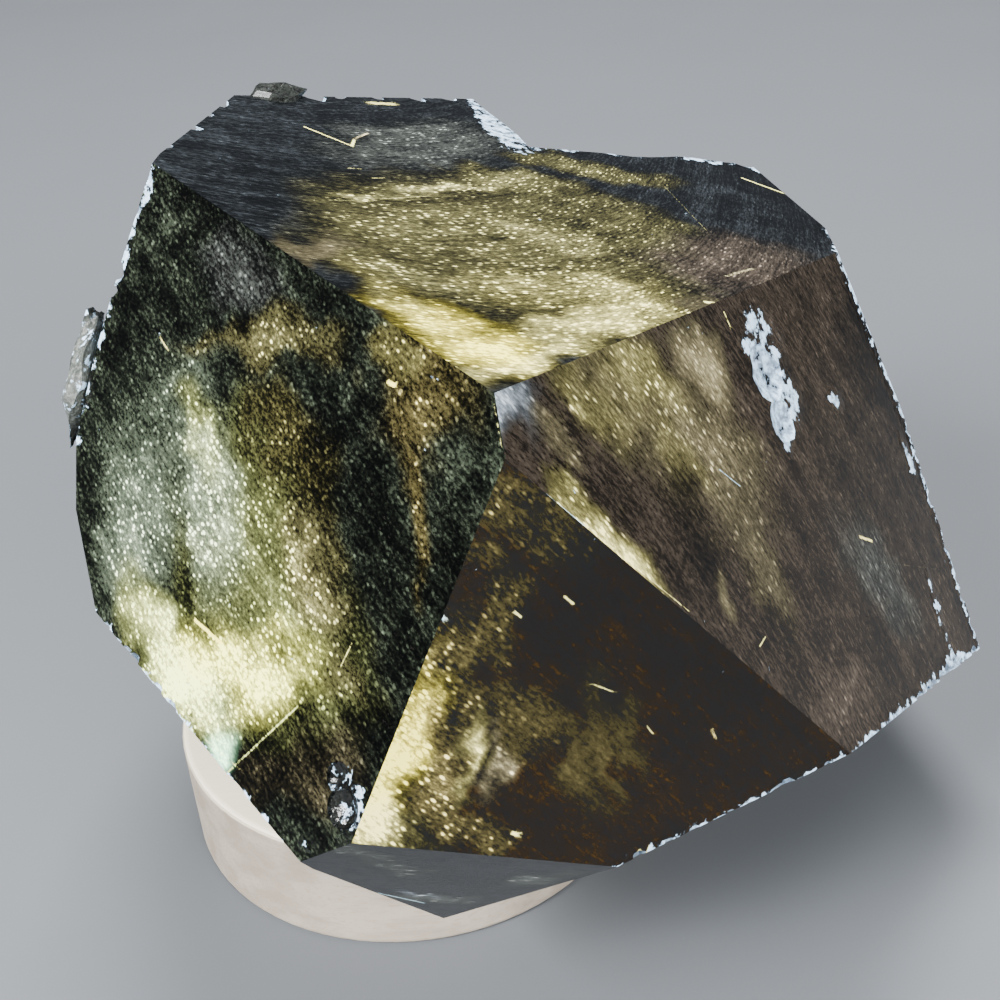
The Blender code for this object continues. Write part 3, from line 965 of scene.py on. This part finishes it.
class Nodes:
    """Short calls for building one material's nodes."""

    def __init__(self, name):
        self.material = bpy.data.materials.new(name)
        self.material.use_nodes = True
        self.tree = self.material.node_tree
        self.shader = self.tree.nodes["Principled BSDF"]
        self.output = self.tree.nodes["Material Output"]

    def add(self, kind, settings=None, **inputs):
        """A node with its settings, and its inputs as values or links."""
        node = self.tree.nodes.new(kind)
        for key, value in (settings or {}).items():
            setattr(node, key, value)
        self.fill(node, **inputs)
        return node

    def fill(self, node, **inputs):
        """Feeds inputs by name, with _ for each space."""
        for key, value in inputs.items():
            self.feed(node.inputs[key.replace("_", " ")], value)

    def feed(self, socket, value):
        """Links a socket to an output, or gives it a plain value."""
        if isinstance(value, bpy.types.NodeSocket):
            self.tree.links.new(value, socket)
        elif socket.type == "RGBA":
            socket.default_value = (*value, 1.0)
        else:
            socket.default_value = value

    def feed_all(self, sockets, values):
        """Feeds sockets that have no names of their own, in their order."""
        for socket, value in zip(sockets, values):
            self.feed(socket, value)

    def math(self, operation, first, second=0.0, third=0.0, clamp=False):
        """A calculation with one, two or three numbers."""
        node = self.add("ShaderNodeMath", {"operation": operation, "use_clamp": clamp})
        self.feed_all(node.inputs, (first, second, third))
        return node.outputs[0]

    def stretch(self, vector, factors):
        """A vector with each part multiplied."""
        node = self.add("ShaderNodeVectorMath", {"operation": "MULTIPLY"})
        self.feed_all(node.inputs, (vector, factors))
        return node.outputs[0]

    def noise(self, vector, scale, detail, roughness, distortion=0.0):
        """Cloudy noise from 0 to 1 at the vector."""
        node = self.add("ShaderNodeTexNoise", Vector=vector, Scale=scale, Detail=detail,
                        Roughness=roughness, Distortion=distortion)
        return node.outputs["Fac"]

    def cells(self, vector, scale):
        """Scattered dots: the distance from the nearest one, and its own random share."""
        node = self.add("ShaderNodeTexVoronoi", {"feature": "F1"}, Vector=vector, Scale=scale)
        return node.outputs["Distance"], self.separate(node.outputs["Color"], 0)

    def step(self, value, low, high, start=0.0, stop=1.0):
        """A soft step of a value between low and high."""
        node = self.add("ShaderNodeMapRange", {"interpolation_type": "SMOOTHSTEP"}, Value=value,
                        From_Min=low, From_Max=high, To_Min=start, To_Max=stop)
        return node.outputs["Result"]

    def mix(self, share, first, second):
        """The first colour where the share is 0, and the second where it is 1."""
        node = self.add("ShaderNodeMix", {"data_type": "RGBA"})
        self.feed_all([node.inputs[number] for number in COLOUR_SOCKETS], (share, first, second))
        return node.outputs[COLOUR_OUTPUT]

    def attribute(self, name, output="Fac"):
        """One of the mesh's corner values."""
        return self.add("ShaderNodeAttribute", {"attribute_name": name}).outputs[output]

    def place(self):
        """The position in millimetres."""
        geometry = self.add("ShaderNodeNewGeometry")
        return self.stretch(geometry.outputs["Position"], (1 / MM, 1 / MM, 1 / MM))

    def separate(self, vector, axis):
        """One part of a vector: 0 for x, 1 for y and 2 for z."""
        return self.add("ShaderNodeSeparateXYZ", Vector=vector).outputs[axis]

    def bump(self, height, strength, distance):
        """A normal that leans as the height does."""
        node = self.add("ShaderNodeBump", Height=height, Strength=strength, Distance=distance)
        return node.outputs["Normal"]


# ---- materials

BLACK = (0.0, 0.0, 0.0)
QUARTZ_IOR = 1.544
SMOKE_COLOUR = (0.40, 0.28, 0.12)
SMOKE_DENSITY = 170.0
CLEAR_TINT = (0.80, 0.74, 0.62)
# White frost in a lighter and a darker tone, with a painted blue reflection of sky light.
SKY_TINTED_FROST = (0.46, 0.65, 0.86)
SKY_TINTED_DARK_FROST = (0.15, 0.20, 0.27)
SHEEN_LEVEL = 0.10
SHEEN_TINT = (0.70, 0.72, 0.75)

# How many stops the mottling swings and a glint adds, in a lively and in a calm cloud.
SPECK_SWING = 9.0
CALM_SWING = 5.0
GLINT_STOPS = 4.0
CALM_GLINT_STOPS = 0.8
DARK_GLINT_SHARE = 0.45  # what is left of a glint where there is no cloud
GLINT_FULL = 0.45  # the brightness from which a glint is whole

# The noises below are given by scale, detail, roughness and distortion.

# The mottling, woven from fine specks and longer wisps.
SPECK_NOISE = (1.0, 2.0, 0.7)
WISP_NOISE = (1.0, 1.0, 0.5)
WISP_SCALE = (0.16, 0.55, 0.55)
WISP_SHARE = 0.32

# The glints: one dot in each cell, shown where the cell's random share is high enough.
SPECK_PITCH = 0.72
DOT_CORE, DOT_EDGE = 0.14, 0.48
CROWD_BY_LEVEL = 0.55
CROWD_BY_CALM = -0.25
CROWD_START, CROWD_FULL = 0.42, 1.10

BRIGHT_START = 0.45  # the glow from which a cloud turns to cream
CREAM_SHARE = 0.12
COVER_FULL = 0.02  # the glow from which the inclusions hide the clear quartz
TINT_FULL = 0.04
FACE_ROUGHNESS = 0.12
BREAK_ROUGHNESS = 0.18
BREAK_START = 0.05  # the frost value that every broken part has at least
FROST_ROUGHNESS = 0.5
FROST_SOLID = 0.9

# The tearing that frost and marks are broken up by.
TEAR_NOISE = (0.9, 3.0, 0.65)
TEAR_WEIGHT = 1.9
FROST_FADE = (1.40, 1.56)
FROST_SHADE_FADE = (0.40, 0.62)
MARK_GRAIN = 0.9
MARK_FADE = (0.80, 1.20)
TEAR_BUMP = 0.6
TEAR_DEPTH = 0.4 * MM


def mottled_glow(n, runs, grains, calm):
    """How bright the inclusions are, from 0 to 1, and the fine specks in them."""
    speck = n.noise(runs, *SPECK_NOISE)
    wisp = n.noise(n.stretch(runs, WISP_SCALE), *WISP_NOISE)
    weave = n.math("MULTIPLY_ADD", wisp, WISP_SHARE, n.math("MULTIPLY", speck, 1.0 - WISP_SHARE))
    swing = n.math("MULTIPLY", n.math("SUBTRACT", weave, 0.5),
                   n.math("MULTIPLY_ADD", calm, CALM_SWING - SPECK_SWING, SPECK_SWING))
    stops = n.math("MULTIPLY_ADD", n.math("SUBTRACT", grains, 1.0), STOPS, swing)
    offset, shade = n.cells(runs, SPECK_PITCH)
    crowd = n.math("MULTIPLY_ADD", grains, CROWD_BY_LEVEL,
                   n.math("MULTIPLY_ADD", calm, CROWD_BY_CALM, shade))
    glint = n.math("MULTIPLY", n.step(offset, DOT_CORE, DOT_EDGE, 1.0, 0.0),
                   n.step(crowd, CROWD_START, CROWD_FULL))
    lively = n.math("MULTIPLY_ADD", calm, CALM_GLINT_STOPS - GLINT_STOPS, GLINT_STOPS)
    reach = n.math("MULTIPLY", n.step(grains, 0.0, GLINT_FULL, DARK_GLINT_SHARE, 1.0), lively)
    stops = n.math("MULTIPLY_ADD", glint, reach, stops)
    return n.math("POWER", 2.0, stops, clamp=True), speck


def quartz_material():
    """Clear smoky quartz with clouds of inclusions, marks, and frost where it is broken."""
    n = Nodes("smoky_quartz_inclusions")
    frost_and_highlight = n.attribute("frost_and_highlight")
    mark = n.attribute("mark")
    glow, speck = mottled_glow(
        n, n.attribute("runs", "Vector"), n.attribute("grains"), n.attribute("calm")
    )
    lit = n.mix(glow, BLACK, n.attribute("hue", "Color"))
    lit = n.mix(n.step(glow, BRIGHT_START, 1.0, 0.0, CREAM_SHARE), lit, CREAM)
    cover = n.step(glow, 0.0, COVER_FULL)
    tear = n.noise(n.place(), *TEAR_NOISE)
    frost_cover = n.step(n.math("MULTIPLY_ADD", tear, TEAR_WEIGHT, frost_and_highlight), *FROST_FADE)
    mark_cover = n.math("ADD", mark, n.math("MULTIPLY", speck, MARK_GRAIN))
    mark_cover = n.math("MULTIPLY", n.step(mark_cover, *MARK_FADE), mark)
    base = n.mix(n.step(cover, 0.0, TINT_FULL), CLEAR_TINT, lit)
    base = n.mix(mark_cover, base, n.attribute("mark_colour", "Color"))
    # The frost's white, with its painted blue sky reflection.
    white = n.mix(n.step(tear, *FROST_SHADE_FADE), SKY_TINTED_DARK_FROST, SKY_TINTED_FROST)
    base = n.mix(frost_cover, base, white)
    shut = n.math("MAXIMUM", n.math("MAXIMUM", cover, mark_cover),
                  n.math("MULTIPLY", frost_cover, FROST_SOLID))
    rough = n.step(frost_and_highlight, 0.0, BREAK_START, FACE_ROUGHNESS, BREAK_ROUGHNESS)
    rough = n.math("MAXIMUM", rough, n.math("MULTIPLY", frost_cover, FROST_ROUGHNESS))
    n.fill(
        n.shader, Base_Color=base, Roughness=rough, IOR=QUARTZ_IOR,
        Transmission_Weight=n.math("SUBTRACT", 1.0, shut, clamp=True),
        Specular_IOR_Level=SHEEN_LEVEL, Specular_Tint=SHEEN_TINT,
        Normal=n.bump(n.math("MULTIPLY", tear, frost_and_highlight), TEAR_BUMP, TEAR_DEPTH),
    )
    volume = n.add("ShaderNodeVolumeAbsorption", Color=SMOKE_COLOUR, Density=SMOKE_DENSITY)
    n.tree.links.new(volume.outputs[0], n.output.inputs["Volume"])
    return n.material


WOOD_LIGHT = (0.31, 0.272, 0.228)
WOOD_DARK = (0.235, 0.200, 0.165)
WOOD_PORES = (0.22, 0.18, 0.13)
# Painted light from above: the colour that the stand's upward faces are lightened towards.
WOOD_PAINTED_TOP_LIGHT = (0.90, 0.83, 0.66)
TOP_LIGHT_SHARE = 0.75
PORE_SHARE = 0.60
RING_STRETCH = (0.10, 1.0, 1.0)
RING_NOISE = (0.35, 3.0, 0.5, 0.4)
PORE_STRETCH = (0.35, 4.0, 4.0)
PORE_NOISE = (1.0, 4.0, 0.6)
PORE_BUMP = 0.35
PORE_DEPTH = 0.08 * MM
RING_FADE = (0.35, 0.65)
PORE_FADE = (0.50, 0.70)
TOP_LIGHT_FADE = (0.3, 0.9)
WOOD_ROUGHNESS = (0.3, 0.7, 0.50, 0.66)  # two levels of the grain, and the roughness at each


def wood_material():
    """Pale turned wood, whose flat top is made lighter than its wall by painted light from above.
    """
    n = Nodes("pale_turned_wood")
    place = n.place()
    rings = n.noise(n.stretch(place, RING_STRETCH), *RING_NOISE)
    grain = n.noise(n.stretch(place, PORE_STRETCH), *PORE_NOISE)
    colour = n.mix(n.step(rings, *RING_FADE), WOOD_LIGHT, WOOD_DARK)
    colour = n.mix(n.step(grain, *PORE_FADE, 0.0, PORE_SHARE), colour, WOOD_PORES)
    # Painted light: the more a surface faces up, the lighter it is painted.
    facing_up = n.separate(n.add("ShaderNodeNewGeometry").outputs["Normal"], 2)
    lit_top = n.mix(TOP_LIGHT_SHARE, colour, WOOD_PAINTED_TOP_LIGHT)
    colour = n.mix(n.step(facing_up, *TOP_LIGHT_FADE), colour, lit_top)
    n.fill(n.shader, Base_Color=colour, Roughness=n.step(grain, *WOOD_ROUGHNESS),
           Normal=n.bump(grain, PORE_BUMP, PORE_DEPTH))
    return n.material


FLOOR_TONES = (0.070, 0.078, 0.090), (0.078, 0.086, 0.098)
FLOOR_NOISE = (0.02, 3.0, 0.55)
FLOOR_ROUGHNESS = 0.7


def floor_material():
    n = Nodes("pale_floor")
    tone = n.noise(n.place(), *FLOOR_NOISE)
    n.fill(n.shader, Base_Color=n.mix(tone, *FLOOR_TONES), Roughness=FLOOR_ROUGHNESS)
    return n.material


# ---- studio

FLOOR_SIZE = 3.0


def add_floor():
    bm = bmesh.new()
    bmesh.ops.create_grid(bm, x_segments=1, y_segments=1, size=FLOOR_SIZE / 2)
    mesh = bpy.data.meshes.new("floor")
    bm.to_mesh(mesh)
    bm.free()
    floor = add_object("floor", mesh)
    mesh.materials.append(floor_material())


# The soft lights: where in metres, the side in metres, watts and the colour.
LIGHTS_AIM = Vector((0.015, 0.0, 0.04))
SOFTBOXES = {
    "left_softbox": ((-0.50, -0.45, 0.60), 0.35, 34.0, (1.0, 0.98, 0.94)),
    "right_softbox": ((0.45, -0.75, 0.50), 0.40, 22.0, (1.0, 0.98, 0.95)),
    "top_softbox": ((0.05, 0.30, 0.85), 0.35, 18.0, (1.0, 0.99, 0.97)),
}
CEILING_STRENGTH = 1.8
CEILING_SPREAD = radians(30.0)
CEILING_TILT = (radians(15.0), radians(8.0), 0.0)
STUDIO_COLOUR = (0.80, 0.87, 1.0, 1.0)
STUDIO_LIGHT = 0.12  # how bright the surroundings are as a light
STUDIO_SEEN = 0.70  # and straight in the camera's view


def add_softbox(name, at, size, watts, colour):
    """A square area light that faces the object."""
    data = bpy.data.lights.new(name, "AREA")
    data.shape = "SQUARE"
    data.size = size
    data.energy = watts
    data.color = colour
    light = add_object(name, data)
    light.location = at
    aim = LIGHTS_AIM - Vector(at)
    light.rotation_euler = aim.to_track_quat("-Z", "Y").to_euler()


def add_ceiling():
    """A wide, even light from above."""
    data = bpy.data.lights.new("ceiling", "SUN")
    data.energy = CEILING_STRENGTH
    data.angle = CEILING_SPREAD
    add_object("ceiling", data).rotation_euler = CEILING_TILT


def add_surroundings():
    """A plain pale room, dimmer as a light than it looks."""
    world = bpy.data.worlds.new("studio")
    bpy.context.scene.world = world
    world.use_nodes = True
    tree = world.node_tree
    background = tree.nodes["Background"]
    background.inputs["Color"].default_value = STUDIO_COLOUR
    path = tree.nodes.new("ShaderNodeLightPath")
    level = tree.nodes.new("ShaderNodeMapRange")
    level.inputs["To Min"].default_value = STUDIO_LIGHT
    level.inputs["To Max"].default_value = STUDIO_SEEN
    tree.links.new(path.outputs["Is Camera Ray"], level.inputs["Value"])
    tree.links.new(level.outputs["Result"], background.inputs["Strength"])


def main():
    add_camera()
    add_floor()
    for name, settings in SOFTBOXES.items():
        add_softbox(name, *settings)
    add_ceiling()
    add_surroundings()
    body = build_crystal(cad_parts["crystal"])
    body.data.materials.append(quartz_material())
    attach(body, "root")
    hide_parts("crystal")
    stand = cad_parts["stand"]
    stand.data.materials.clear()
    stand.data.materials.append(wood_material())


main()
